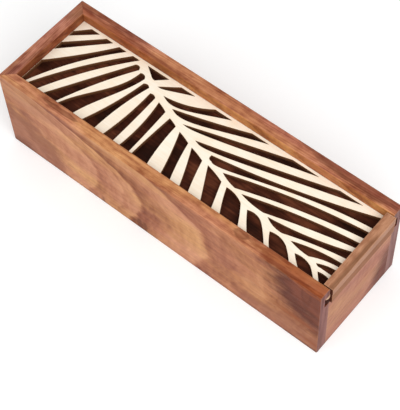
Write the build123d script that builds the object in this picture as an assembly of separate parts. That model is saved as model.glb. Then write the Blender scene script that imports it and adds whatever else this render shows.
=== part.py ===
from build123d import *
from dataclasses import dataclass
import os

# Wooden pencil box with a sliding lid, in millimetres.
# X runs along the box with the open end at +X, -Y is the near long side, +Z is up.
# The origin is on the underside, at the middle of the whole box with its lid shut.

# Case
case_length = 220.0
case_width = 68.0
case_height = 60.0
board_thickness = 7.3
outer_easing = 0.6
inner_easing = 0.9
end_board_easing = 0.4
bottom_thickness = 4.0
bottom_rabbet = 3.5

# Grooves that the lid runs in
lip_height = 6.2
groove_depth = 3.7

# Lid, a dark panel under a pale fretwork, with a rail glued across its open end
panel_thickness = 4.6
fretwork_thickness = 2.5
lid_back_radius = 1.0
lid_front_radius = 3.0
top_clearance = 0.2
bottom_clearance = 0.2
side_clearance = 0.3
back_clearance = 0.3

rail_width = 5.8
rail_proud = 1.4
rail_step_back = 0.2
rail_step_above_fretwork = 0.6
rail_leg = 1.2
rail_below_rim = 0.4
rail_side_gap = 0.4
rail_easing = 0.5

# Frond cut through the fretwork, in the lid's window between the closed end and the rail.
# Its rib starts at the far border and ends at the rail, low over the near border.
fretwork_rim = 1.5
rib_start = 41.0
rib_tip_height = 6.1
rib_tip_slope = 0.05
rib_half_at_start = 2.4
rib_half_at_tip = 1.2


@dataclass
class Slot:
    """A slot of the frond. The first value of a pair is for the side by the closed end.

    Root places are hundredths of the stretch before the rib's start or after it. The other
    places are as below. The rest are hundredths of the window's width.
    """

    root: tuple  # places where the two sides start
    end: tuple  # places on the border where they end
    bow: tuple = (0.0, 0.0)  # how far they bend to the left of their own direction
    gap: tuple = (0.0, 0.0)  # how much further than the rib's edge they start
    rounding: float = 0.0  # how far the root end is rounded out
    follow: float = 0.0  # how far the second side follows the rib at first


# Places on a border are hundredths of the window's length, from the closed end.
# Below 0 on the near border, they go on up the closed end, in hundredths of its width.
# Past 100 on the far border, they go on down the open end in the same way.

# Slots by the closed end, which start from the far border, before the rib does
corner_slots = [
    Slot(root=(17.6, 32.9), end=(-85.4, -77.2)),
    Slot(root=(45.1, 57.6), end=(-65.7, -53.5)),
    Slot(root=(68.3, 81.7), end=(-33.9, 1.1), bow=(1.6, -5.3)),
    Slot(root=(93.2, 105.6), end=(2.0, 5.4), bow=(-3.7, -4.1)),
]

# Slots from the rib to the near border
near_slots = [
    Slot(root=(1.4, 3.8), end=(7.6, 12.1), bow=(0.0, -2.6), rounding=2.6),
    Slot(root=(5.0, 7.7), end=(12.9, 18.3), bow=((9.1, -3.1), (3.1, -2.8)), rounding=2.4),
    Slot(root=(8.6, 11.2), end=(21.4, 26.0), bow=(2.4, -2.6), gap=(3.5, 0.6), rounding=2.0),
    Slot(root=(12.9, 15.5), end=(28.9, 32.4), bow=(2.0, 0.4), gap=(3.0, 1.2), rounding=1.6),
    Slot(root=(17.5, 21.7), end=(34.5, 37.8), bow=(2.8, 0.4), rounding=0.4),
    Slot(root=(24.4, 28.0), end=(38.7, 44.0), bow=(-0.4, -1.4), rounding=0.4),
    Slot(root=(30.3, 35.3), end=(48.6, 51.7), bow=(1.0, -1.0), rounding=0.4),
    Slot(root=(37.2, 43.0), end=(54.8, 57.6), bow=(0.6, -0.6), rounding=0.4),
    Slot(root=(45.5, 52.7), end=(61.7, 65.1), gap=(-1.6, -0.8), rounding=0.6),
    Slot(root=(55.2, 62.3), end=(67.9, 73.5), bow=(-0.8, 0.6), gap=(-1.0, 0.0), rounding=2.0),
    Slot(root=(65.3, 71.8), end=(76.5, 81.7), bow=(-0.6, 0.6), rounding=3.1),
    Slot(root=(75.4, 82.3), end=(83.4, 89.4), bow=(-0.8, 0.6), rounding=2.6),
    Slot(root=(85.9, 92.2), end=(92.3, 96.7), bow=(-0.4, 0.4), rounding=2.0),
    Slot(root=(95.0, 100.0), end=(98.3, 100.0), rounding=1.6),
]

# Slots from the rib to the far border or the rail
far_slots = [
    Slot(root=(8.4, 10.6), end=(23.6, 31.1), gap=(0.4, 0.8), rounding=0.8),
    Slot(root=(13.0, 13.9), end=(35.2, 40.0), gap=(0.0, 1.2), follow=4.9),
    Slot(root=(16.9, 18.6), end=(46.7, 52.4), bow=(-4.1, -2.0), follow=17.7),
    Slot(root=(22.5, 24.0), end=(58.9, 64.4), bow=(-1.0, -1.0), follow=19.7),
    Slot(root=(29.1, 30.6), end=(71.9, 80.3), bow=(0.4, -0.6), gap=(0.0, 1.4), follow=13.8),
    Slot(root=(36.3, 38.1), end=(86.7, 93.7), bow=(-1.0, -0.6), gap=(0.4, 0.6), follow=13.8),
    Slot(
        root=(44.0, 45.5),
        end=(99.6, 115.7),
        bow=(-4.3, 5.5),
        gap=(4.7, 0.0),
        rounding=2.4,
        follow=11.8,
    ),
    Slot(root=(50.9, 57.4), end=(121.5, 130.3), bow=(4.3, 3.1), gap=(1.6, 0.2), rounding=1.0),
    Slot(root=(60.3, 69.8), end=(137.2, 144.1), bow=(3.0, 1.2), gap=(1.0, 3.9), rounding=1.2),
    Slot(root=(71.7, 78.7), end=(149.0, 160.0), bow=(-3.1, 1.6), gap=(3.9, 1.6), rounding=2.0),
    Slot(root=(82.3, 89.8), end=(167.1, 172.4), bow=(2.4, 1.8), gap=(1.8, 1.6), rounding=1.0),
    Slot(root=(93.0, 95.0), end=(177.0, 184.6), bow=(1.4, 0.0), gap=(1.2, 0.0), rounding=1.0),
]

# Levels and places worked out from the sizes above
half_width = case_width / 2
case_start = -(case_length + rail_proud) / 2
case_end = case_start + case_length
groove_top = case_height - lip_height
lid_top = groove_top - top_clearance
lid_bottom = lid_top - fretwork_thickness - panel_thickness
groove_floor = lid_bottom - bottom_clearance
fretwork_bottom = lid_top - fretwork_thickness

rail_front = case_end + rail_proud
rail_back = rail_front - rail_width
rail_lower_front = rail_front - rail_step_back
panel_end = rail_lower_front - rail_leg
panel_start = case_start + board_thickness - groove_depth + back_clearance
panel_half_width = half_width - board_thickness + groove_depth - side_clearance

window_start = case_start + board_thickness
window_length = rail_back - window_start
window_near = -half_width + board_thickness + fretwork_rim
window_width = case_width - 2 * (board_thickness + fretwork_rim)


def block(x_range, y_range, z_range):
    """A box between two corners."""
    size = [high - low for low, high in (x_range, y_range, z_range)]
    corner = Vector(x_range[0], y_range[0], z_range[0])
    return Pos(corner) * Box(*size, align=(Align.MIN, Align.MIN, Align.MIN))


def case_envelope():
    """The whole case as one block, with its outer edges eased by sanding."""
    body = block((case_start, case_end), (-half_width, half_width), (0, case_height))
    return fillet(body.edges(), outer_easing)


def bottom_space():
    """The space that the bottom panel fills, flush with the underside."""
    reach = board_thickness - bottom_rabbet
    return block(
        (case_start + reach, case_end - reach),
        (-half_width + reach, half_width - reach),
        (0, bottom_thickness),
    )


def grooved_section():
    """Section of a tall board: outer face at 0, a groove in the inner face under its lip."""
    groove_face = board_thickness - groove_depth
    outline = Polyline(
        (0, 0),
        (0, case_height),
        (board_thickness, case_height),
        (board_thickness, groove_top),
        (groove_face, groove_top),
        (groove_face, groove_floor),
        (board_thickness, groove_floor),
        (board_thickness, 0),
        close=True,
    )
    section = make_face(outline)
    inner_arris = section.vertices().group_by(Axis.Y)[-1].sort_by(Axis.X)[-1]
    return fillet(inner_arris, inner_easing)


def near_side_board():
    """Long board with its groove open at the open end, mitred at the closed end."""
    corner = (case_start, -half_width, 0)
    start_plane = Plane(origin=corner, x_dir=(0, 1, 0), z_dir=(1, 0, 0))
    board = extrude(start_plane * grooved_section(), case_length)
    mitre = Plane(origin=corner, z_dir=(1, -1, 0))
    board = split(board, bisect_by=mitre, keep=Keep.TOP)
    return (board & case_envelope()) - bottom_space()


def far_side_board():
    """The near side board, mirrored."""
    return mirror(near_side_board(), about=Plane.XZ)


def closed_end_board():
    """Grooved board across the closed end, mitred at both of its ends."""
    near_corner = (case_start, -half_width, 0)
    far_corner = (case_start, half_width, 0)
    start_plane = Plane(origin=far_corner, x_dir=(1, 0, 0), z_dir=(0, -1, 0))
    board = extrude(start_plane * grooved_section(), case_width)
    near_mitre = Plane(origin=near_corner, z_dir=(-1, 1, 0))
    far_mitre = Plane(origin=far_corner, z_dir=(-1, -1, 0))
    board = split(board, bisect_by=near_mitre, keep=Keep.TOP)
    board = split(board, bisect_by=far_mitre, keep=Keep.TOP)
    return (board & case_envelope()) - bottom_space()


def open_end_board():
    """Lower board between the long ones, with its top level with the groove's floor."""
    inner_half = half_width - board_thickness
    board = block(
        (case_end - board_thickness, case_end), (-inner_half, inner_half), (0, groove_floor)
    )
    top_edges = board.edges().filter_by(Axis.Y).group_by(Axis.Z)[-1]
    board = fillet(top_edges, end_board_easing)
    return (board & case_envelope()) - bottom_space()


def bottom_panel():
    """Panel let into the lower edges of the four boards."""
    return bottom_space()


def lid_blank(z_low, z_high):
    """A layer of the lid that fills the grooves, with its corners rounded, more so in front."""
    blank = block(
        (panel_start, panel_end), (-panel_half_width, panel_half_width), (z_low, z_high)
    )
    corners = blank.edges().filter_by(Axis.Z).group_by(Axis.X)
    blank = fillet(corners[0], lid_back_radius)
    front_corners = blank.edges().filter_by(Axis.Z).group_by(Axis.X)[-1]
    return fillet(front_corners, lid_front_radius)


def lid_panel():
    """Dark backing panel of the lid."""
    return lid_blank(lid_bottom, fretwork_bottom)


def rib_centre(u):
    """Height of the rib's centre line in the window: a parabola that flattens at its tip."""
    reach = window_length - rib_start
    curl = (window_width - rib_tip_height - rib_tip_slope * reach) / reach**2
    run = window_length - u
    return rib_tip_height + rib_tip_slope * run + curl * run**2


def rib_half(u):
    """Half of the rib's height in the window, which narrows towards the tip."""
    share = (u - rib_start) / (window_length - rib_start)
    return rib_half_at_start + share * (rib_half_at_tip - rib_half_at_start)


def along(place):
    """Distance for hundredths of the window's length."""
    return window_length * place / 100


def across(place):
    """Distance for hundredths of the window's width."""
    return window_width * place / 100


def on_near_border(place):
    """Point of the window's near border, or of the closed end for a place below 0."""
    return Vector(along(place), 0) if place >= 0 else Vector(0, across(-place))


def on_far_border(place):
    """Point of the window's far border, or of the open end for a place past 100."""
    if place <= 100:
        return Vector(along(place), window_width)
    return Vector(window_length, window_width - across(place - 100))


def rib_roots(slot, side):
    """Where a slot's sides start by the rib. Side is 1 on its far edge and -1 on its near one."""
    roots = []
    for place, gap in zip(slot.root, slot.gap):
        u = rib_start + (window_length - rib_start) * place / 100
        roots.append(Vector(u, rib_centre(u) + side * (rib_half(u) + across(gap))))
    return roots


def bowed(start, end, bow):
    """Points of a curve whose middle, or whose two thirds for a pair, lie off the straight."""
    bows = bow if isinstance(bow, tuple) else (bow,)
    path = end - start
    leftward = path.normalized().rotate(Axis.Z, 90)
    reach = (len(bows) + 1) / len(bows)
    handles = [
        start + path * (step + 1) / (len(bows) + 1) + leftward * reach * across(amount)
        for step, amount in enumerate(bows)
    ]
    return [start, *handles, end]


def on_lid(point):
    """Place of a point of the window on the lid."""
    return (window_start + point.X, window_near + point.Y)


def slot_face(side_a, side_b, root_cap, corner=None):
    """Flat slot from its two sides, its root end and any corner of the border in its end."""
    border = [side_a[-1], corner, side_b[-1]] if corner else [side_a[-1], side_b[-1]]
    curves = [Bezier(*map(on_lid, points)) for points in (side_a, side_b, root_cap)]
    return make_face([*curves, Polyline(*map(on_lid, border))])


def corner_slot(slot):
    """Slot between the far border and the closed end or the near border."""
    roots = [Vector(rib_start * place / 100, window_width) for place in slot.root]
    side_a, side_b = [
        bowed(root, on_near_border(end), bow) for root, end, bow in zip(roots, slot.end, slot.bow)
    ]
    corner = Vector(0, 0) if slot.end[0] < 0 < slot.end[1] else None
    return slot_face(side_a, side_b, roots, corner)


def near_slot(slot):
    """Slot from the near edge of the rib to the near border."""
    roots = rib_roots(slot, -1)
    side_a, side_b = [
        bowed(root, on_near_border(end), bow) for root, end, bow in zip(roots, slot.end, slot.bow)
    ]
    return slot_face(side_a, side_b, bowed(*roots, slot.rounding))


def far_slot(slot):
    """Slot from the far edge of the rib to the far border or the rail."""
    roots = rib_roots(slot, 1)
    side_a, side_b = [
        bowed(root, on_far_border(end), bow) for root, end, bow in zip(roots, slot.end, slot.bow)
    ]
    if slot.follow:
        along_rib = (roots[1] - roots[0]).normalized()
        side_b.insert(1, roots[1] + along_rib * across(slot.follow))
    corner = Vector(window_length, window_width) if slot.end[0] < 100 < slot.end[1] else None
    return slot_face(side_a, side_b, bowed(*roots, -slot.rounding), corner)


def frond_slots():
    """All slots of the frond, as flat faces."""
    faces = [corner_slot(slot) for slot in corner_slots]
    faces += [near_slot(slot) for slot in near_slots]
    faces += [far_slot(slot) for slot in far_slots]
    return faces


def lid_fretwork():
    """Pale sheet on the backing panel, with the frond cut through it."""
    sheet = lid_blank(fretwork_bottom, lid_top)
    cutters = [
        extrude(Pos(0, 0, fretwork_bottom) * face, fretwork_thickness, dir=(0, 0, 1))
        for face in frond_slots()
    ]
    return sheet - cutters


def lid_end_rail():
    """Rail over the lid's open end: a block on the fretwork with a leg down its front."""
    step_level = lid_top + rail_step_above_fretwork
    rail_top = case_height - rail_below_rim
    outline = Polyline(
        (rail_back, lid_top),
        (rail_back, rail_top),
        (rail_front, rail_top),
        (rail_front, step_level),
        (rail_lower_front, step_level),
        (rail_lower_front, lid_bottom),
        (panel_end, lid_bottom),
        (panel_end, lid_top),
        close=True,
    )
    section = make_face(outline)
    section = fillet(section.vertices().group_by(Axis.Y)[-1], rail_easing)
    rail_half = half_width - board_thickness - rail_side_gap
    start_plane = Plane(origin=(0, rail_half, 0), x_dir=(1, 0, 0), z_dir=(0, -1, 0))
    return extrude(start_plane * section, 2 * rail_half)


sub_parts = {
    "near_side_board": near_side_board,
    "far_side_board": far_side_board,
    "closed_end_board": closed_end_board,
    "open_end_board": open_end_board,
    "bottom_panel": bottom_panel,
    "lid_panel": lid_panel,
    "lid_fretwork": lid_fretwork,
    "lid_end_rail": lid_end_rail,
}

os.makedirs("parts", exist_ok=True)
for name, make in sub_parts.items():
    export_step(make(), f"parts/{name}.step")
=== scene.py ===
from math import cos, radians, sin

import bpy
from mathutils import Matrix, Vector


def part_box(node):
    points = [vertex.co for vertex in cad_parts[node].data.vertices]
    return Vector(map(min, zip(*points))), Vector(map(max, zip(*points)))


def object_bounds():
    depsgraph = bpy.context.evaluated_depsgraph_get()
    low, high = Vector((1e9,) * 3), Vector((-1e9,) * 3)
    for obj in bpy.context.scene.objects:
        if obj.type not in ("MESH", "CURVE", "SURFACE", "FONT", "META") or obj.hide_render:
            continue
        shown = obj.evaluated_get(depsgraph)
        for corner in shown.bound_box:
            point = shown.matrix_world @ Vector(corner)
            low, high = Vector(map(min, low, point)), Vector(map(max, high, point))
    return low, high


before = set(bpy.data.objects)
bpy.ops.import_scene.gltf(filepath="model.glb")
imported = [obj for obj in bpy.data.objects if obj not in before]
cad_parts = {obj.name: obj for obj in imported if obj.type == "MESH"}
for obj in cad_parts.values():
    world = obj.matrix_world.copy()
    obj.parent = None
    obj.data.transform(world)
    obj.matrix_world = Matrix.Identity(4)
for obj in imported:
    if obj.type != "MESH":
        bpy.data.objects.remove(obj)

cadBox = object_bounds()
print("frame loaded")

toMillimetres = 1000.0
alongX, alongY, upward = (1, 0, 0), (0, 1, 0), (0, 0, 1)
usualNoise = (0.3, 0.7)  # noise seldom leaves this range
plain = (1.0, 1.0, 1.0, 1.0)


# Small tools for shader trees

def tint(red, green, blue):  # colour as a paint program shows it, 0 to 255
    linear = []
    for share in (red / 255, green / 255, blue / 255):
        linear.append(share / 12.92 if share <= 0.04 else ((share + 0.055) / 1.055) ** 2.4)
    return (*linear, 1.0)


def addNode(tree, kind, **settings):
    node = tree.nodes.new("ShaderNode" + kind)
    for name, value in settings.items():
        setattr(node, name, value)
    return node


def feed(tree, socket, value):
    if isinstance(value, bpy.types.NodeSocket):
        tree.links.new(value, socket)
    else:
        socket.default_value = value


def calc(tree, operation, *values, clamp=False):
    node = addNode(tree, "Math", operation=operation, use_clamp=clamp)
    for socket, value in zip(node.inputs, values):
        feed(tree, socket, value)
    return node.outputs[0]


def calcVector(tree, operation, *values):
    node = addNode(tree, "VectorMath", operation=operation)
    for socket, value in zip(node.inputs, values):
        feed(tree, socket, value)
    single = operation in ("DOT_PRODUCT", "LENGTH")
    return node.outputs["Value" if single else "Vector"]


def inMillimetres(tree, vector):
    return calcVector(tree, "MULTIPLY", vector, (toMillimetres,) * 3)


def joinXYZ(tree, *values):
    node = addNode(tree, "CombineXYZ")
    for socket, value in zip(node.inputs, values):
        feed(tree, socket, value)
    return node.outputs[0]


def splitXYZ(tree, vector):
    node = addNode(tree, "SeparateXYZ")
    feed(tree, node.inputs[0], vector)
    return node.outputs


def remap(tree, value, low, high, outLow=0.0, outHigh=1.0):
    node = addNode(tree, "MapRange", interpolation_type="SMOOTHSTEP")
    for socket, number in zip(node.inputs, (value, low, high, outLow, outHigh)):
        feed(tree, socket, number)
    return node.outputs[0]


def mixColour(tree, factor, first, second, mode="MIX"):
    node = addNode(tree, "Mix", data_type="RGBA", blend_type=mode)
    for index, value in ((0, factor), (6, first), (7, second)):  # its colour sockets
        feed(tree, node.inputs[index], value)
    return node.outputs[2]


def blend(tree, colour, mask, share, other):  # lays a colour on where the mask says
    return mixColour(tree, calc(tree, "MULTIPLY", mask, share), colour, other)


def tinted(tree, share, colour, multiplier):
    return mixColour(tree, share, colour, mixColour(tree, 1.0, colour, multiplier, "MULTIPLY"))


def cloud(tree, place, stretch, detail=3.0, roughness=0.5):  # noise with features of that size
    node = addNode(tree, "TexNoise")
    scale = tuple(1 / length for length in stretch)
    feed(tree, node.inputs["Vector"], calcVector(tree, "MULTIPLY", place, scale))
    node.inputs["Scale"].default_value = 1.0
    node.inputs["Detail"].default_value = detail
    node.inputs["Roughness"].default_value = roughness
    return node.outputs[0]


def ramp(tree, value, stops):  # stops are (place, colour) or (place, grey)
    node = addNode(tree, "ValToRGB")
    elements = node.color_ramp.elements
    for index, (place, colour) in enumerate(stops):
        element = elements[index] if index < 2 else elements.new(place)
        element.position = place
        element.color = colour if isinstance(colour, tuple) else (colour, colour, colour, 1.0)
    feed(tree, node.inputs[0], value)
    return node.outputs[0]


def newGroup(name, inputs, outputs):
    group = bpy.data.node_groups.new(name, "ShaderNodeTree")
    for label, value in inputs.items():
        kind = "NodeSocketVector" if isinstance(value, tuple) else "NodeSocketFloat"
        socket = group.interface.new_socket(name=label, in_out="INPUT", socket_type=kind)
        socket.default_value = value
    for label, kind in outputs.items():
        group.interface.new_socket(name=label, in_out="OUTPUT", socket_type="NodeSocket" + kind)
    given = group.nodes.new("NodeGroupInput").outputs
    made = group.nodes.new("NodeGroupOutput").inputs
    return group, given, made


def useGroup(tree, group, values):
    node = tree.nodes.new("ShaderNodeGroup")
    node.node_tree = group
    for label, value in values.items():
        feed(tree, node.inputs[label], value)
    return node.outputs


# Shader groups that several woods share. Lengths inside them are in millimetres.

def woodPlaceGroup():  # place in a board's own directions: along it, across it, into it
    group, given, made = newGroup(
        "wood place",
        {
            "Position": (0, 0, 0),
            "Corner": (0, 0, 0),
            "Along": (1, 0, 0),
            "Across": (0, 0, 1),
            "Depth": (0, 1, 0),
        },
        {"Place": "Vector"},
    )
    offset = calcVector(group, "SUBTRACT", given["Position"], given["Corner"])
    offset = inMillimetres(group, offset)
    ways = [given[label] for label in ("Along", "Across", "Depth")]
    parts = [calcVector(group, "DOT_PRODUCT", offset, way) for way in ways]
    feed(group, made["Place"], joinXYZ(group, *parts))
    return group


def growthRingsGroup():  # rings cut at a shallow climb, so that they arch across a flat sawn face
    group, given, made = newGroup(
        "growth rings",
        {
            "Place": (0, 0, 0),
            "Climb": 0.045,
            "Crown": 25.0,
            "Arch Above": 0.05,
            "Arch Below": 0.03,
            "Fade": 300.0,
            "Wobble": 5.0,
            "Feather": 4.0,
            "Seed": 0.0,
        },
        {"Reach": "Float"},
    )
    along, across, depth = splitXYZ(group, given["Place"])
    fromCrown = calc(group, "SUBTRACT", across, given["Crown"])
    isAbove = calc(group, "GREATER_THAN", fromCrown, 0.0)
    extra = calc(group, "SUBTRACT", given["Arch Above"], given["Arch Below"])
    bend = calc(group, "MULTIPLY_ADD", isAbove, extra, given["Arch Below"])
    # Above their crown the arches flatten along the board
    fading = calc(group, "MULTIPLY", calc(group, "DIVIDE", along, given["Fade"]), isAbove)
    flatter = calc(group, "SUBTRACT", 1.0, fading)
    arch = calc(group, "MULTIPLY", calc(group, "MULTIPLY", fromCrown, fromCrown), bend)
    reach = calc(group, "MULTIPLY_ADD", arch, flatter, along)
    reach = calc(group, "ADD", reach, calc(group, "DIVIDE", depth, given["Climb"]))
    shifted = calcVector(group, "ADD", given["Place"], given["Seed"])
    sways = (  # how coarse a sway is, which input sets it, and its share of that input
        ((38, 17, 12), "Wobble", 1.8),
        ((13, 8, 6), "Wobble", 1.6),
        ((5, 3.5, 3), "Wobble", 0.35),
        ((34, 0.9, 0.9), "Feather", 1.0),
    )
    for stretch, amount, share in sways:
        sway = calc(group, "SUBTRACT", cloud(group, shifted, stretch), 0.5)
        sway = calc(group, "MULTIPLY", sway, calc(group, "MULTIPLY", given[amount], share))
        reach = calc(group, "ADD", reach, sway)
    feed(group, made["Reach"], reach)
    return group


def ringTonesGroup():  # each ring goes from dark to light and then drops at its late wood
    group, given, made = newGroup(
        "ring tones",
        {"Reach": 0.0, "Spacing": 20.0, "Seed": 0.0},
        {"Tone": "Float", "Line": "Float"},
    )
    age = calc(group, "DIVIDE", given["Reach"], given["Spacing"])
    age = calc(group, "ADD", age, given["Seed"])
    goodYears = cloud(group, joinXYZ(group, age), (2.3, 1, 1), 1.0)
    goodYearStrength = 2.4
    share = calc(group, "FRACT", calc(group, "MULTIPLY_ADD", goodYears, goodYearStrength, age))
    # The numbers below are shares of a ring's width
    rise = remap(group, share, 0.0, 0.85)
    fall = remap(group, share, 0.93, 1.0, 1.0, 0.0)
    feed(group, made["Tone"], calc(group, "MULTIPLY", rise, fall))
    lineStart = remap(group, share, 0.9, 0.97)
    lineEnd = remap(group, share, 0.98, 1.0, 1.0, 0.2)
    feed(group, made["Line"], calc(group, "MULTIPLY", lineStart, lineEnd))
    return group


def woodFibresGroup():  # long fine streaks, and the short dark pores between them
    group, given, made = newGroup(
        "wood fibres",
        {"Place": (0, 0, 0), "Fineness": 1.0, "Seed": 0.0},
        {"Streak": "Float", "Pores": "Float"},
    )
    streakSize, poreSize, poreRange = (26, 0.9, 0.9), (3.4, 0.24, 0.24), (0.60, 0.72)
    place = calcVector(group, "MULTIPLY", given["Place"], given["Fineness"])
    place = calcVector(group, "ADD", place, given["Seed"])
    feed(group, made["Streak"], cloud(group, place, streakSize, 5.0, 0.62))
    pores = cloud(group, place, poreSize, 2.0, 0.55)
    feed(group, made["Pores"], remap(group, pores, *poreRange))
    return group


def edgeWearAndHighlightGroup():  # how near a point is to an edge of its board, broken up by handling; it marks edge wear and a painted highlight
    group, given, made = newGroup(
        "edge wear and highlight",
        {"Position": (0, 0, 0), "Low": (0, 0, 0), "High": (1, 1, 1), "Width": 1.0, "Seed": 0.0},
        {"Wear And Highlight": "Float"},
    )
    above = calcVector(group, "SUBTRACT", given["Position"], given["Low"])
    below = calcVector(group, "SUBTRACT", given["High"], given["Position"])
    nearest = inMillimetres(group, calcVector(group, "MINIMUM", above, below))
    x, y, z = splitXYZ(group, nearest)
    # An edge is near where the second smallest of the three distances is small
    lower, upper = calc(group, "MINIMUM", x, y), calc(group, "MAXIMUM", x, y)
    second = calc(group, "MAXIMUM", lower, calc(group, "MINIMUM", upper, z))
    place = inMillimetres(group, given["Position"])
    place = calcVector(group, "ADD", place, given["Seed"])
    handledSize, leastWidth, mostWidth = (7, 7, 7), 0.45, 1.3
    handling = cloud(group, place, handledSize)
    handling = remap(group, handling, *usualNoise, leastWidth, mostWidth)
    width = calc(group, "MULTIPLY", given["Width"], handling)
    core = 0.1  # as far as this the edge wear and its painted highlight are full
    feed(group, made["Wear And Highlight"], remap(group, second, core, width, 1.0, 0.0))
    return group


def glueLineGroup():  # thin dark line where two boards meet in a plane
    group, given, made = newGroup(
        "glue line",
        {"Position": (0, 0, 0), "Point": (0, 0, 0), "Square": (1, 0, 0), "Width": 0.25},
        {"Line": "Float"},
    )
    offset = calcVector(group, "SUBTRACT", given["Position"], given["Point"])
    distance = calc(group, "ABSOLUTE", calcVector(group, "DOT_PRODUCT", offset, given["Square"]))
    distance = calc(group, "MULTIPLY", distance, toMillimetres)
    core = 0.05  # as far as this the line is dark in full
    feed(group, made["Line"], remap(group, distance, core, given["Width"], 1.0, 0.0))
    return group


def darkMarkGroup():  # a knot or a stain, rippled inside and darker towards its rim
    group, given, made = newGroup(
        "dark mark",
        {
            "Place": (0, 0, 0),
            "Centre": (0, 0, 0),
            "Size": (5, 5, 5),
            "Ragged": 0.5,
            "Feather": 0.4,
            "Soft": 0.3,
            "Streak": 0.5,
        },
        {"Mark": "Float", "Rings": "Float"},
    )
    edge, ripples, rippleDepth = 1.08, 17.0, 0.12  # the edge is where a mark has faded out
    offset = calcVector(group, "SUBTRACT", given["Place"], given["Centre"])
    offset = calcVector(group, "DIVIDE", offset, given["Size"])
    ragged = calc(group, "SUBTRACT", cloud(group, given["Place"], (13, 6, 4)), 0.5)
    distance = calcVector(group, "LENGTH", offset)
    distance = calc(group, "MULTIPLY_ADD", ragged, given["Ragged"], distance)
    strayed = calc(group, "SUBTRACT", 0.5, given["Streak"])
    strayed = calc(group, "MULTIPLY_ADD", strayed, given["Feather"], distance)
    solid = calc(group, "SUBTRACT", edge, given["Soft"])
    feed(group, made["Mark"], remap(group, strayed, solid, edge, 1.0, 0.0))
    ripple = calc(group, "SINE", calc(group, "MULTIPLY", distance, ripples))
    rim = remap(group, distance, 0.45, 0.82, 0.65, 0.0)  # lightest in the middle
    feed(group, made["Rings"], calc(group, "MULTIPLY_ADD", ripple, rippleDepth, rim))
    return group


def faceTurnGroup():  # which way a face looks: along the board, upward, or into the box
    group, given, made = newGroup(
        "face turn",
        {"Normal": (0, 0, 1), "Along": (1, 0, 0), "Inward": (0, 1, 0)},
        {"End": "Float", "Up": "Float", "Inner": "Float"},
    )
    # Each range goes from where a face starts to count to where it counts in full
    endRange, faceRange = (0.5, 0.9), (0.4, 0.95)
    ahead = calcVector(group, "DOT_PRODUCT", given["Normal"], given["Along"])
    feed(group, made["End"], remap(group, calc(group, "ABSOLUTE", ahead), *endRange))
    for label, way in (("Up", upward), ("Inner", given["Inward"])):
        turned = calcVector(group, "DOT_PRODUCT", given["Normal"], way)
        feed(group, made[label], remap(group, turned, *faceRange))
    return group


woodPlace = woodPlaceGroup()
growthRings = growthRingsGroup()
ringTones = ringTonesGroup()
woodFibres = woodFibresGroup()
edgeWearAndHighlight = edgeWearAndHighlightGroup()
glueLine = glueLineGroup()
darkMark = darkMarkGroup()
faceTurn = faceTurnGroup()
print("shader groups made")


# Steps that the materials share

def newMaterial(name):
    material = bpy.data.materials.new(name)
    material.use_nodes = True
    tree = material.node_tree
    return material, tree, tree.nodes["Principled BSDF"], addNode(tree, "TexCoord").outputs


def placeIn(tree, where, corner, along, across, depth):
    values = {"Corner": corner, "Along": along, "Across": across, "Depth": depth}
    return useGroup(tree, woodPlace, {"Position": where["Object"], **values})["Place"]


def wearAndHighlightMask(tree, where, node, look, seed):
    low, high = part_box(node)
    values = {"Low": low, "High": high, "Width": look["wearAndHighlightWidth"], "Seed": seed}
    return useGroup(tree, edgeWearAndHighlight, {"Position": where["Object"], **values})["Wear And Highlight"]


def finishWood(tree, shader, look, fibres, colour, roughnessChanges=()):
    feed(tree, shader.inputs["Base Color"], colour)
    rough = remap(tree, fibres["Streak"], *usualNoise, *look["roughness"])
    for mask, change in roughnessChanges:
        rough = calc(tree, "MULTIPLY_ADD", mask, change, rough)
    feed(tree, shader.inputs["Roughness"], rough)
    shader.inputs["Specular IOR Level"].default_value = look["specular"]
    bump = addNode(tree, "Bump")
    bump.inputs["Strength"].default_value = look["bumpStrength"]
    bump.inputs["Distance"].default_value = look["bumpDistance"]
    relief = calc(tree, "MULTIPLY_ADD", fibres["Pores"], -look["poreDepth"], fibres["Streak"])
    feed(tree, bump.inputs["Height"], relief)
    feed(tree, shader.inputs["Normal"], bump.outputs[0])


def dress(node, material):
    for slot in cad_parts[node].material_slots:
        slot.material = material


# Case boards

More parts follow.
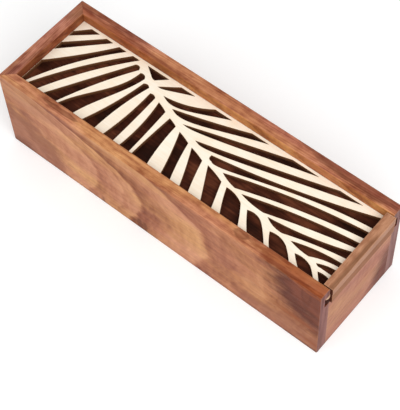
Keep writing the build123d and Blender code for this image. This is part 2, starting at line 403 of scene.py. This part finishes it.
caseFinish = {
    "tones": [  # from the darkest wood to the lightest
        (0.0, tint(92, 42, 24)),
        (0.3, tint(140, 82, 57)),
        (0.6, tint(182, 124, 89)),
        (1.0, tint(216, 162, 121)),
    ],
    "rosy": (1.02, 0.95, 1.02, 1.0),
    "golden": (1.02, 1.01, 0.84, 1.0),
    "driftRange": (0.38, 0.62),  # of the noise that goes from rosy to golden
    "markColours": {  # a dark and a light colour for each kind of mark
        "mauve": (tint(70, 22, 10), tint(120, 62, 43)),
        "rose": (tint(134, 78, 58), tint(170, 114, 90)),
        "rust": (tint(98, 36, 14), tint(152, 82, 46)),
        "knot": (tint(76, 32, 18), tint(116, 62, 40)),
        "pale": (tint(184, 120, 78), tint(212, 156, 110)),
    },
    "markGrain": 0.35,
    "pore": tint(84, 42, 28),
    "poreShare": 0.35,
    "poreDepth": 0.8,
    "endGrain": tint(146, 98, 89),
    "endGrainDark": tint(116, 74, 67),
    "endShare": 0.9,
    # Sizes of the figure in millimetres, along a board, across it and into it
    "driftSize": (58, 20, 9),
    "mottleSize": (6, 11, 7),
    "patchSize": (44, 20, 6),
    "broadStreakSize": (70, 3.2, 1.8),
    "fleckSize": (7, 2.4, 2.4),
    "endGrainSize": (3, 26, 2.6),
    # How strongly each part of the figure shows
    "patchStrength": 0.6,
    "broadStreak": 0.45,
    "fineRings": 0.06,
    "fineSpacing": 5.0,
    "streakOnFace": 0.4,
    "streakOnTop": 0.8,
    "flecksOnTop": 0.7,
    "flecksInside": 0.6,
    "calmOnTop": 0.65,
    "calmInside": 0.6,
    "calmTone": 0.55,  # the tone that calmer faces are drawn towards
    # Shade near the floor and in the lid's grooves, worn edges with a painted highlight, and the
    # joints
    "foot": (0.62, 0.56, 0.6, 1.0),
    "footRange": (0.2, 3.2),  # millimetres above the floor
    "footShare": 0.6,
    "grooveShade": (0.36, 0.2, 0.14, 1.0),
    "grooveSlack": 0.3,  # takes in the lid's clearances
    "grooveBack": 3.4,  # just short of a groove's back wall
    # Edges are lightened: partly wear, partly a painted highlight along the arrises
    "wornEdgeAndHighlight": tint(220, 166, 122),
    "wearAndHighlightWidth": 0.6,
    "wearAndHighlightShare": 0.12,
    "glue": tint(64, 30, 18),
    "glueWidth": 0.3,
    "glueShare": 0.22,
    "roughness": (0.42, 0.62),
    "endRougher": 0.15,
    "wornSmoother": 0.08,
    "specular": 0.1,
    "bumpStrength": 0.35,
    "bumpDistance": 0.00012,
}


def makeMark(colours, centre, size, ragged, share, soft=0.3):
    spread = {"Centre": centre, "Size": size, "Ragged": ragged, "Soft": soft}
    return {"colours": colours, "share": share, "spread": spread}


# Places and sizes are in millimetres along a board, up it and into it, from its outer corner.
# A band has its start along the rings' reach, its tone there and its tone at its end.
boardCuts = {
    "near_side_board": {
        "along": alongX,
        "depth": (0, 1, 0),
        "corner": ("low", "low"),
        "rings": {
            "Climb": 0.045,
            "Crown": 28.0,
            "Arch Above": 0.085,
            "Arch Below": 0.015,
            "Fade": 204.0,
            "Feather": 2.5,
            "Seed": 0.0,
        },
        "bands": [
            (-10, 0.40, 0.58),
            (22, 0.62, 0.72),
            (44, 0.78, 0.84),
            (69, 0.50, 0.60),
            (82, 0.66, 0.72),
            (89, 0.56, 0.66),
            (92, 0.74, 0.84),
            (99, 0.28, 0.38),
            (108, 0.44, 0.64),
            (122, 0.76, 0.86),
            (146, 0.40, 0.46),
            (164, 0.50, 0.60),
            (186, 0.52, 0.40),
            (230, 0.30, 0.50),
            (262, 0.66, 0.44),
            (320, 0.35, 0.70),
        ],
        "marks": [
            makeMark("rose", (-4, 2, 0), (50, 38, 3), ragged=1.0, share=0.75),
            makeMark("pale", (178, 24, 0), (15, 8, 3), ragged=0.8, share=0.5),
            makeMark("rose", (196, 6, 0), (32, 12, 3), ragged=0.8, share=0.5),
            makeMark("mauve", (225, 60, 0), (42, 46, 3), ragged=0.6, share=0.96, soft=0.45),
            makeMark("knot", (211, 58, 0), (3.5, 19, 3), ragged=0.8, share=0.5),
            makeMark("rose", (14, 54, 0), (44, 13, 3), ragged=0.8, share=0.4, soft=0.7),
            makeMark("rust", (212, 60, 0), (20, 5, 3), ragged=1.0, share=0.8, soft=0.7),
            makeMark("knot", (97.5, 2, 0), (2.4, 9, 3), ragged=0.9, share=0.8, soft=0.7),
            makeMark("knot", (101.5, 5, 0), (2, 6, 3), ragged=0.9, share=0.7, soft=0.7),
            makeMark("knot", (70, 0, 0), (2, 8, 3), ragged=0.9, share=0.6, soft=0.7),
            makeMark("knot", (8, 1, 0), (13, 8, 3), ragged=1.2, share=0.6, soft=0.8),
            makeMark("rust", (205, 23, 0), (20, 4, 3), ragged=1.0, share=0.8, soft=0.9),
            makeMark("rust", (216, 8, 0), (12, 3, 3), ragged=1.0, share=0.75, soft=0.9),
            makeMark("knot", (210, 0, 0), (24, 2.6, 3), ragged=1.0, share=0.7, soft=0.9),
            makeMark("rust", (224, 60, 5), (56, 3, 6), ragged=1.4, share=0.7),
            makeMark("knot", (44, 60, 4), (13, 3, 1.6), ragged=2.2, share=0.6),
            makeMark("knot", (166, 60, 4), (5, 3, 3.5), ragged=2.2, share=0.5),
        ],
        "faceTint": plain,
        "topTint": (1.1, 1.1, 1.08, 1.0),
        "innerTint": (0.85, 0.74, 0.6, 1.0),
        "endTint": (0.91, 1.0, 1.12, 1.0),
        "mottle": 0.5,
        "seed": 3.0,
    },
    "far_side_board": {
        "along": alongX,
        "depth": (0, -1, 0),
        "corner": ("low", "high"),
        "rings": {
            "Climb": 0.035,
            "Crown": 34.0,
            "Arch Above": 0.05,
            "Arch Below": 0.03,
            "Fade": -700.0,
            "Seed": 31.0,
        },
        "spacing": 34.0,
        "marks": [
            makeMark("mauve", (12, 60, 0), (46, 24, 4), ragged=1.0, share=0.5),
            makeMark("rust", (20, 57, 7.3), (66, 14, 4), ragged=1.0, share=0.6),
            makeMark("mauve", (200, 62, 0), (46, 26, 6), ragged=1.0, share=0.6),
        ],
        "faceTint": plain,
        "topTint": (0.94, 0.84, 0.93, 1.0),
        "innerTint": (1.06, 0.98, 0.72, 1.0),
        "endTint": (0.98, 1.27, 1.5, 1.0),
        "mottle": 0.5,
        "seed": 17.0,
    },
    "closed_end_board": {
        "along": alongY,
        "depth": (1, 0, 0),
        "corner": ("low", "low"),
        "rings": {
            "Climb": 0.05,
            "Crown": 22.0,
            "Arch Above": 0.04,
            "Arch Below": 0.04,
            "Fade": 400.0,
            "Seed": 57.0,
        },
        "spacing": 22.0,
        "marks": [
            makeMark("mauve", (0, 50, 0), (16, 40, 7), ragged=1.0, share=0.3),
            makeMark("mauve", (64, 60, 0), (14, 40, 9), ragged=1.0, share=0.45),
            makeMark("mauve", (8, 57, 7.3), (22, 14, 4), ragged=0.8, share=0.4),
        ],
        "faceTint": plain,
        "topTint": (0.93, 0.88, 1.09, 1.0),
        "innerTint": (0.74, 0.57, 0.45, 1.0),
        "endTint": plain,
        "mottle": 0.5,
        "seed": 29.0,
    },
    "open_end_board": {
        "along": alongY,
        "depth": (-1, 0, 0),
        "corner": ("high", "low"),
        "rings": {
            "Climb": 0.06,
            "Crown": 40.0,
            "Arch Above": 0.02,
            "Arch Below": 0.02,
            "Fade": 400.0,
            "Seed": 83.0,
        },
        "bands": [
            (-40, 0.50, 0.62),
            (24, 0.56, 0.68),
            (60, 0.48, 0.60),
            (100, 0.40, 0.60),
            (160, 0.50, 0.64),
        ],
        "marks": [
            makeMark("mauve", (57, 7, 0), (20, 31, 12), ragged=0.4, share=0.95, soft=0.65),
        ],
        "faceTint": (0.92, 0.95, 1.18, 1.0),
        "topTint": plain,
        "innerTint": (0.85, 0.74, 0.6, 1.0),
        "endTint": plain,
        "mottle": 0.15,
        "seed": 41.0,
    },
}


def cornerOf(node, sides):  # the outer bottom corner that a board's places are measured from
    low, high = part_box(node)
    x, y = [(low, high)[side == "high"][axis] for axis, side in enumerate(sides)]
    return (x, y, low.z)


def bandTone(tree, reach, bands):
    widestBlend, lastBand = 1.6, 60  # millimetres
    first, last = bands[0][0], bands[-1][0] + lastBand
    ends = [band[0] for band in bands[1:]] + [last]
    stops = []
    for (start, opening, closing), end in zip(bands, ends):
        margin = min(widestBlend, (end - start) / 4)
        stops += [(start + margin, opening), (end - margin, closing)]
    share = calc(tree, "DIVIDE", calc(tree, "SUBTRACT", reach, float(first)), float(last - first))
    return ramp(tree, share, [((mm - first) / (last - first), grey) for mm, grey in stops])


def ringTone(tree, reach, cut):
    values = {"Reach": reach, "Spacing": cut["spacing"], "Seed": cut["seed"]}
    rings = useGroup(tree, ringTones, values)
    darkest, contrast, lineDepth = 0.25, 0.5, 0.08
    tone = calc(tree, "MULTIPLY_ADD", rings["Tone"], contrast, darkest)
    return calc(tree, "MULTIPLY_ADD", rings["Line"], -lineDepth, tone)


def boardTone(tree, place, fibres, turn, cut, look):  # 0 is a board's darkest wood, 1 its lightest
    reach = useGroup(tree, growthRings, {"Place": place, **cut["rings"]})["Reach"]
    values = {"Reach": reach, "Spacing": look["fineSpacing"], "Seed": cut["seed"]}
    fine = useGroup(tree, ringTones, values)["Tone"]
    if "bands" in cut:
        tone = bandTone(tree, reach, cut["bands"])
    else:
        tone = ringTone(tree, reach, cut)

    calm = calc(tree, "MULTIPLY", turn["Inner"], look["calmInside"])
    calm = calc(tree, "MULTIPLY_ADD", turn["Up"], look["calmOnTop"], calm)
    calm = calc(tree, "SUBTRACT", 1.0, calm)
    tone = calc(tree, "SUBTRACT", tone, look["calmTone"])
    tone = calc(tree, "MULTIPLY_ADD", tone, calm, look["calmTone"])

    streakExtra = look["streakOnTop"] - look["streakOnFace"]
    streak = calc(tree, "MULTIPLY_ADD", turn["Up"], streakExtra, look["streakOnFace"])
    flecks = calc(tree, "MULTIPLY", turn["Inner"], look["flecksInside"])
    flecks = calc(tree, "MULTIPLY_ADD", turn["Up"], look["flecksOnTop"], flecks)
    broad = calc(tree, "MULTIPLY", calm, look["broadStreak"])
    layers = [
        (fine, calc(tree, "MULTIPLY", calm, look["fineRings"])),
        (cloud(tree, place, look["mottleSize"]), cut["mottle"]),
        (cloud(tree, place, look["patchSize"], 2.0), look["patchStrength"]),
        (cloud(tree, place, look["broadStreakSize"]), broad),
        (fibres["Streak"], streak),
        (cloud(tree, place, look["fleckSize"]), flecks),
    ]
    for layer, strength in layers:
        tone = calc(tree, "MULTIPLY_ADD", calc(tree, "SUBTRACT", layer, 0.5), strength, tone)
    return tone


def addMarks(tree, place, streak, marks, look, colour):
    for mark in marks:
        found = useGroup(tree, darkMark, {"Place": place, "Streak": streak, **mark["spread"]})
        dark, light = look["markColours"][mark["colours"]]
        grain = calc(tree, "MULTIPLY_ADD", streak, look["markGrain"], found["Rings"], clamp=True)
        inside = mixColour(tree, grain, dark, light)
        colour = blend(tree, colour, found["Mark"], mark["share"], inside)
    return colour


def endGrainColour(tree, place, cut, look):
    tone = remap(tree, cloud(tree, place, look["endGrainSize"], 2.0), *usualNoise)
    colour = mixColour(tree, tone, look["endGrainDark"], look["endGrain"])
    return mixColour(tree, 1.0, colour, cut["endTint"], "MULTIPLY")


def grooveMask(tree, height, depth, look):  # the lid fills the grooves, so it gives their height
    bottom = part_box("lid_panel")[0].z * toMillimetres
    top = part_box("lid_fretwork")[1].z * toMillimetres
    reach = (top - bottom) / 2 + look["grooveSlack"]
    inGroove = calc(tree, "COMPARE", height, (bottom + top) / 2, reach)
    return calc(tree, "MULTIPLY", inGroove, calc(tree, "GREATER_THAN", depth, look["grooveBack"]))


def jointsOf(node):  # planes where a board meets its neighbours: a point and a square direction
    nearLow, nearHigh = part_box("near_side_board")
    farLow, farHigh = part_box("far_side_board")
    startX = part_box("closed_end_board")[0].x
    diagonal = 0.5**0.5
    nearMitre = ((startX, nearLow.y, 0), (diagonal, -diagonal, 0))
    farMitre = ((startX, farHigh.y, 0), (diagonal, diagonal, 0))
    planes = {
        "near_side_board": [nearMitre],
        "far_side_board": [farMitre],
        "closed_end_board": [nearMitre, farMitre],
        "open_end_board": [((0, nearHigh.y, 0), alongY), ((0, farLow.y, 0), alongY)],
    }
    return planes[node]


def boardMaterial(node):
    cut, look = boardCuts[node], caseFinish
    material, tree, shader, where = newMaterial(node + "_wood")
    corner = cornerOf(node, cut["corner"])
    place = placeIn(tree, where, corner, cut["along"], upward, cut["depth"])
    fibres = useGroup(tree, woodFibres, {"Place": place, "Seed": cut["seed"]})
    values = {"Normal": where["Normal"], "Along": cut["along"], "Inward": cut["depth"]}
    turn = useGroup(tree, faceTurn, values)

    colour = ramp(tree, boardTone(tree, place, fibres, turn, cut, look), look["tones"])
    drift = remap(tree, cloud(tree, place, look["driftSize"], 2.0), *look["driftRange"])
    drift = mixColour(tree, drift, look["rosy"], look["golden"])
    colour = mixColour(tree, 1.0, colour, drift, "MULTIPLY")
    colour = addMarks(tree, place, fibres["Streak"], cut["marks"], look, colour)
    colour = blend(tree, colour, fibres["Pores"], look["poreShare"], look["pore"])
    colour = tinted(tree, 1.0, colour, cut["faceTint"])
    colour = tinted(tree, turn["Up"], colour, cut["topTint"])
    colour = tinted(tree, turn["Inner"], colour, cut["innerTint"])
    endColour = endGrainColour(tree, place, cut, look)
    colour = blend(tree, colour, turn["End"], look["endShare"], endColour)

    parts = splitXYZ(tree, place)
    foot = remap(tree, parts["Y"], *look["footRange"], look["footShare"], 0.0)
    colour = tinted(tree, foot, colour, look["foot"])
    grooves = grooveMask(tree, parts["Y"], parts["Z"], look)
    colour = tinted(tree, grooves, colour, look["grooveShade"])
    wearAndHighlight = wearAndHighlightMask(tree, where, node, look, cut["seed"])
    # Lighter edges: partly wear, partly a painted highlight
    colour = blend(tree, colour, wearAndHighlight, look["wearAndHighlightShare"], look["wornEdgeAndHighlight"])
    for point, square in jointsOf(node):
        values = {"Point": point, "Square": square, "Width": look["glueWidth"]}
        line = useGroup(tree, glueLine, {"Position": where["Object"], **values})["Line"]
        colour = blend(tree, colour, line, look["glueShare"], look["glue"])

    changes = [(turn["End"], look["endRougher"]), (wearAndHighlight, -look["wornSmoother"])]
    finishWood(tree, shader, look, fibres, colour, changes)
    return material


for board in boardCuts:
    dress(board, boardMaterial(board))
print("case boards finished")


# Bottom panel

bottomFinish = {
    "light": tint(206, 160, 122),
    "dark": tint(160, 112, 82),
    "rings": {
        "Climb": 0.06,
        "Crown": 24.0,
        "Arch Above": 0.09,
        "Arch Below": 0.09,
        "Fade": 900.0,
        "Seed": 120.0,
    },
    "ringPart": 0.4,
    "streakPart": 0.6,
    "spacing": 9.0,
    "seed": 5.0,
    "fineness": 0.9,
    "fibreSeed": 11.0,
    "pore": tint(104, 66, 46),
    "poreShare": 0.35,
    "poreDepth": 0.8,
    "roughness": (0.5, 0.7),
    "specular": 0.5,
    "bumpStrength": 0.35,
    "bumpDistance": 0.00012,
}


def bottomMaterial():
    look = bottomFinish
    material, tree, shader, where = newMaterial("bottom_panel_wood")
    place = placeIn(tree, where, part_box("bottom_panel")[0], alongX, alongY, upward)
    reach = useGroup(tree, growthRings, {"Place": place, **look["rings"]})["Reach"]
    values = {"Reach": reach, "Spacing": look["spacing"], "Seed": look["seed"]}
    rings = useGroup(tree, ringTones, values)["Tone"]
    values = {"Place": place, "Fineness": look["fineness"], "Seed": look["fibreSeed"]}
    fibres = useGroup(tree, woodFibres, values)
    tone = calc(tree, "MULTIPLY", fibres["Streak"], look["streakPart"])
    tone = calc(tree, "MULTIPLY_ADD", rings, look["ringPart"], tone)
    colour = mixColour(tree, tone, look["dark"], look["light"])
    colour = blend(tree, colour, fibres["Pores"], look["poreShare"], look["pore"])
    finishWood(tree, shader, look, fibres, colour)
    return material


dress("bottom_panel", bottomMaterial())
print("bottom panel finished")


# Dark panel of the lid

panelFinish = {
    "deep": tint(34, 14, 7),
    "middle": tint(66, 31, 19),
    "warm": tint(104, 57, 37),
    "toneRange": (0.42, 0.9),
    "sawn": tint(54, 20, 9),
    "patchSize": (20, 10, 9),
    "patchPart": 0.95,
    "streakPart": 0.35,
    "fineness": 0.8,
    "seed": 71.0,
    "poreDepth": 0.8,
    "roughness": (0.5, 0.7),
    "specular": 0.05,
    "bumpStrength": 0.3,
    "bumpDistance": 0.0001,
}


def panelMaterial():
    look = panelFinish
    material, tree, shader, where = newMaterial("lid_panel_stain")
    place = placeIn(tree, where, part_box("lid_panel")[0], alongX, alongY, upward)
    values = {"Place": place, "Fineness": look["fineness"], "Seed": look["seed"]}
    fibres = useGroup(tree, woodFibres, values)
    turn = useGroup(tree, faceTurn, {"Normal": where["Normal"], "Along": alongX})
    tone = calc(tree, "MULTIPLY", cloud(tree, place, look["patchSize"]), look["patchPart"])
    tone = calc(tree, "MULTIPLY_ADD", fibres["Streak"], look["streakPart"], tone)
    stops = [(0.0, look["deep"]), (0.5, look["middle"]), (1.0, look["warm"])]
    colour = ramp(tree, remap(tree, tone, *look["toneRange"]), stops)
    colour = mixColour(tree, turn["Up"], look["sawn"], colour)
    finishWood(tree, shader, look, fibres, colour)
    return material


dress("lid_panel", panelMaterial())
print("lid panel finished")


# Pale fretwork of the lid, with scorched walls in its slots

fretworkFinish = {
    "light": tint(254, 243, 226),
    "dark": tint(247, 229, 204),
    "toneRange": (0.35, 0.85),
    "rippleSize": (9, 16, 9),
    "ripplePart": 0.5,
    "streakPart": 0.7,
    "fineness": 1.1,
    "seed": 201.0,
    "fleck": tint(232, 205, 172),
    "fleckShare": 0.25,
    # Scorched slot walls, lighter at the top of a wall and darker towards its bottom
    "cutTop": tint(120, 79, 49),
    "cutBottom": tint(82, 50, 31),
    "halo": tint(206, 164, 118),
    "haloWidth": 0.0004,
    "haloBend": (0.75, 0.995),
    "haloShare": 0.7,
    "sawn": tint(206, 164, 132),
    "rimWidth": 3.2,
    "poreDepth": 0.0,
    "roughness": (0.45, 0.62),
    "specular": 0.15,
    "bumpStrength": 0.15,
    "bumpDistance": 0.00008,
}


def haloMask(tree, look):  # faint scorch beside each cut, found where the edge would be rounded
    bevel = addNode(tree, "Bevel", samples=4)
    bevel.inputs["Radius"].default_value = look["haloWidth"]
    facing = addNode(tree, "NewGeometry").outputs["Normal"]
    bend = calcVector(tree, "DOT_PRODUCT", bevel.outputs[0], facing)
    return remap(tree, bend, *look["haloBend"], look["haloShare"], 0.0)


def outlineMask(tree, where, low, high, look):  # the sheet's own edges are sawn, not scorched
    fromLow = calcVector(tree, "SUBTRACT", where["Object"], low)
    fromHigh = calcVector(tree, "SUBTRACT", high, where["Object"])
    parts = splitXYZ(tree, calcVector(tree, "MINIMUM", fromLow, fromHigh))
    inside = calc(tree, "MULTIPLY", calc(tree, "MINIMUM", parts["X"], parts["Y"]), toMillimetres)
    return calc(tree, "LESS_THAN", inside, look["rimWidth"])


def fretworkMaterial():
    look = fretworkFinish
    material, tree, shader, where = newMaterial("lid_fretwork_maple")
    low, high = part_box("lid_fretwork")
    place = placeIn(tree, where, low, alongX, alongY, upward)
    values = {"Place": place, "Fineness": look["fineness"], "Seed": look["seed"]}
    fibres = useGroup(tree, woodFibres, values)
    turn = useGroup(tree, faceTurn, {"Normal": where["Normal"], "Along": alongX})
    ripple = cloud(tree, place, look["rippleSize"], 2.0)
    tone = calc(tree, "MULTIPLY", ripple, look["ripplePart"])
    tone = calc(tree, "MULTIPLY_ADD", fibres["Streak"], look["streakPart"], tone)
    tone = remap(tree, tone, *look["toneRange"])
    colour = mixColour(tree, tone, look["dark"], look["light"])
    colour = blend(tree, colour, fibres["Pores"], look["fleckShare"], look["fleck"])
    colour = mixColour(tree, haloMask(tree, look), colour, look["halo"])

    # Slot walls are scorched, and darker towards the bottom of each wall
    thickness = (high.z - low.z) * toMillimetres
    rising = remap(tree, splitXYZ(tree, place)["Z"], 0.0, thickness)
    scorch = mixColour(tree, rising, look["cutBottom"], look["cutTop"])
    outline = outlineMask(tree, where, low, high, look)
    sides = mixColour(tree, outline, scorch, look["sawn"])
    colour = mixColour(tree, turn["Up"], sides, colour)
    finishWood(tree, shader, look, fibres, colour)
    return material


dress("lid_fretwork", fretworkMaterial())
print("lid fretwork finished")


# Rail across the lid's open end

railFinish = {
    "light": tint(196, 143, 110),
    "dark": tint(138, 88, 60),
    "toneRange": (0.38, 0.74),
    "fleckSize": (8, 2.6, 3.0),
    "fleckPart": 0.45,
    "patchSize": (24, 6, 6),
    "patchPart": 0.4,
    "streakPart": 0.3,
    "seed": 151.0,
    "pore": tint(96, 58, 38),
    "poreShare": 0.3,
    "poreDepth": 0.8,
    # End grain: dark in itself, and darker still with painted shade
    "endGrain": tint(76, 32, 14),
    # Dark streak on the top, beside the front edge, which fades out along the rail
    "frontTop": tint(112, 74, 50),
    "frontTopWidth": 2.2,
    "frontTopBlur": 0.9,
    "frontTopWander": 2.4,
    "frontTopFade": (28.0, 46.0),
    "frontTopShares": (0.65, 0.2),
    # The front is darker below where it steps back, and carries a painted highlight above the step
    "stepHeight": 7.7,
    "stepBlur": 0.1,
    "belowStep": tint(132, 80, 46),
    "belowShare": 0.75,
    "aboveStepHighlight": tint(170, 126, 103),
    "aboveHighlightShare": 0.6,
    # Lighter edges: partly wear, partly a painted highlight along the arrises
    "wornEdgeAndHighlight": tint(206, 158, 124),
    "wearAndHighlightWidth": 0.5,
    "wearAndHighlightShare": 0.35,
    "wearAndHighlightSeed": 19.0,
    "roughness": (0.45, 0.62),
    "specular": 0.1,
    "bumpStrength": 0.35,
    "bumpDistance": 0.00012,
}


def frontTopMask(tree, parts, patches, width, look):
    wander = look["frontTopWander"]
    uneven = calc(tree, "MULTIPLY_ADD", patches, wander, -wander / 2)
    fromFront = calc(tree, "ADD", calc(tree, "SUBTRACT", width, parts["Y"]), uneven)
    inner, outer = [look["frontTopWidth"] + side * look["frontTopBlur"] for side in (-1, 1)]
    strip = calc(tree, "SUBTRACT", 1.0, remap(tree, fromFront, inner, outer))
    fade = remap(tree, parts["X"], *look["frontTopFade"], *look["frontTopShares"])
    return calc(tree, "MULTIPLY", strip, fade)


def railMaterial():
    look = railFinish
    material, tree, shader, where = newMaterial("lid_end_rail_wood")
    low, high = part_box("lid_end_rail")
    place = placeIn(tree, where, low, alongY, alongX, upward)
    parts = splitXYZ(tree, place)
    fibres = useGroup(tree, woodFibres, {"Place": place, "Seed": look["seed"]})
    turn = useGroup(tree, faceTurn, {"Normal": where["Normal"], "Along": alongY})
    flecks = cloud(tree, place, look["fleckSize"], 3.0, 0.6)
    patches = cloud(tree, place, look["patchSize"], 2.0)
    tone = calc(tree, "MULTIPLY", flecks, look["fleckPart"])
    tone = calc(tree, "MULTIPLY_ADD", fibres["Streak"], look["streakPart"], tone)
    tone = calc(tree, "MULTIPLY_ADD", patches, look["patchPart"], tone)
    tone = remap(tree, tone, *look["toneRange"])
    colour = mixColour(tree, tone, look["dark"], look["light"])
    colour = blend(tree, colour, fibres["Pores"], look["poreShare"], look["pore"])

    width = (high.x - low.x) * toMillimetres
    strip = frontTopMask(tree, parts, patches, width, look)
    colour = blend(tree, colour, strip, turn["Up"], look["frontTop"])
    front = calc(tree, "SUBTRACT", 1.0, turn["Up"])
    under, over = [look["stepHeight"] + side * look["stepBlur"] for side in (-1, 1)]
    below = remap(tree, parts["Z"], over, under, 0.0, look["belowShare"])
    # Above the step the front gets a painted highlight
    above = remap(tree, parts["Z"], under, over, 0.0, look["aboveHighlightShare"])
    colour = blend(tree, colour, below, front, look["belowStep"])
    colour = blend(tree, colour, above, front, look["aboveStepHighlight"])
    # Dark end grain, with painted shade added to its own colour
    colour = mixColour(tree, turn["End"], colour, look["endGrain"])
    wearAndHighlight = wearAndHighlightMask(tree, where, "lid_end_rail", look, look["wearAndHighlightSeed"])
    # Lighter edges: partly wear, partly a painted highlight
    colour = blend(tree, colour, wearAndHighlight, look["wearAndHighlightShare"], look["wornEdgeAndHighlight"])
    finishWood(tree, shader, look, fibres, colour)
    return material


dress("lid_end_rail", railMaterial())
print("lid rail finished")


# Studio: floor, world, lamps and camera

studio = {
    "floorSize": 8.0,
    "floorGap": 0.0001,
    "floorColour": (0.82, 0.82, 0.82, 1.0),
    "floorRoughness": 0.7,
    "floorSpecular": 0.2,
    "floorLift": 0.24,  # glow that only shows, and lights nothing
    "worldStrength": 0.62,
    "lamps": {
        "key lamp": {
            "azimuth": 62.0,
            "elevation": 48.0,
            "distance": 1.1,
            "size": 0.7,
            "power": 7.0,
        },
        "fill lamp": {
            "azimuth": -30.0,
            "elevation": 35.0,
            "distance": 1.3,
            "size": 1.0,
            "power": 3.0,
        },
    },
}
middle = (cadBox[0] + cadBox[1]) / 2


def direction(azimuth, elevation):  # azimuth 0 stands at -Y, 90 at +X
    a, e = radians(azimuth), radians(elevation)
    return Vector((sin(a) * cos(e), -cos(a) * cos(e), sin(e)))


def seenRays(tree):  # 1 for rays that show the backdrop itself, 0 for rays that light the box
    rays = addNode(tree, "LightPath").outputs
    seen = calc(tree, "MAXIMUM", rays["Is Camera Ray"], rays["Is Glossy Ray"])
    return calc(tree, "MAXIMUM", seen, rays["Is Transmission Ray"])


def makeFloor():
    half = studio["floorSize"] / 2
    mesh = bpy.data.meshes.new("floor")
    drop = -studio["floorGap"]
    corners = [(-half, -half, drop), (half, -half, drop), (half, half, drop), (-half, half, drop)]
    mesh.from_pydata(corners, [], [(0, 1, 2, 3)])
    floor = bpy.data.objects.new("floor", mesh)
    bpy.context.scene.collection.objects.link(floor)
    material = bpy.data.materials.new("pale_floor")
    material.use_nodes = True
    tree = material.node_tree
    shader = tree.nodes["Principled BSDF"]
    shader.inputs["Base Color"].default_value = studio["floorColour"]
    shader.inputs["Roughness"].default_value = studio["floorRoughness"]
    shader.inputs["Specular IOR Level"].default_value = studio["floorSpecular"]
    lift = addNode(tree, "Emission")
    strength = calc(tree, "MULTIPLY", seenRays(tree), studio["floorLift"])
    feed(tree, lift.inputs["Strength"], strength)
    both = addNode(tree, "AddShader")
    tree.links.new(shader.outputs[0], both.inputs[0])
    tree.links.new(lift.outputs[0], both.inputs[1])
    tree.links.new(both.outputs[0], tree.nodes["Material Output"].inputs["Surface"])
    mesh.materials.append(material)


def makeWorld():
    world = bpy.data.worlds.new("studio")
    world.use_nodes = True
    tree = world.node_tree
    lit = studio["worldStrength"]
    strength = calc(tree, "MULTIPLY_ADD", seenRays(tree), 1.0 - lit, lit)
    background = tree.nodes["Background"].inputs
    feed(tree, background["Color"], plain)
    feed(tree, background["Strength"], strength)
    bpy.context.scene.world = world


def makeLamp(name, lamp):
    light = bpy.data.lights.new(name, "AREA")
    light.size = lamp["size"]
    light.energy = lamp["power"]
    holder = bpy.data.objects.new(name, light)
    toLamp = direction(lamp["azimuth"], lamp["elevation"])
    holder.location = middle + toLamp * lamp["distance"]
    holder.rotation_euler = toLamp.to_track_quat("Z", "Y").to_euler()
    bpy.context.scene.collection.objects.link(holder)


cameraPlace = {
    "azimuth": 43.25,
    "elevation": 57.94,
    "roll": -3.98,
    "distance": 0.702,
    "rightward": 0.00235,
    "upward": -0.01882,
    "focalPixels": 1292.0,
    "longSidePixels": 410.0,
}


def makeCamera():
    look = cameraPlace
    back = direction(look["azimuth"], look["elevation"])
    level = Vector(upward).cross(back).normalized()
    roll = radians(look["roll"])
    right = level * cos(roll) + back.cross(level) * sin(roll)
    above = back.cross(right)
    aside = right * look["rightward"] + above * look["upward"]
    data = bpy.data.cameras.new("camera")
    data.lens = data.sensor_width * look["focalPixels"] / look["longSidePixels"]
    camera = bpy.data.objects.new("camera", data)
    camera.location = middle + back * look["distance"] + aside
    camera.rotation_euler = Matrix((right, above, back)).transposed().to_euler()
    bpy.context.scene.collection.objects.link(camera)
    bpy.context.scene.camera = camera


makeFloor()
makeWorld()
for name, lamp in studio["lamps"].items():
    makeLamp(name, lamp)
makeCamera()
bpy.context.scene.view_settings.view_transform = "Standard"
print("studio ready")
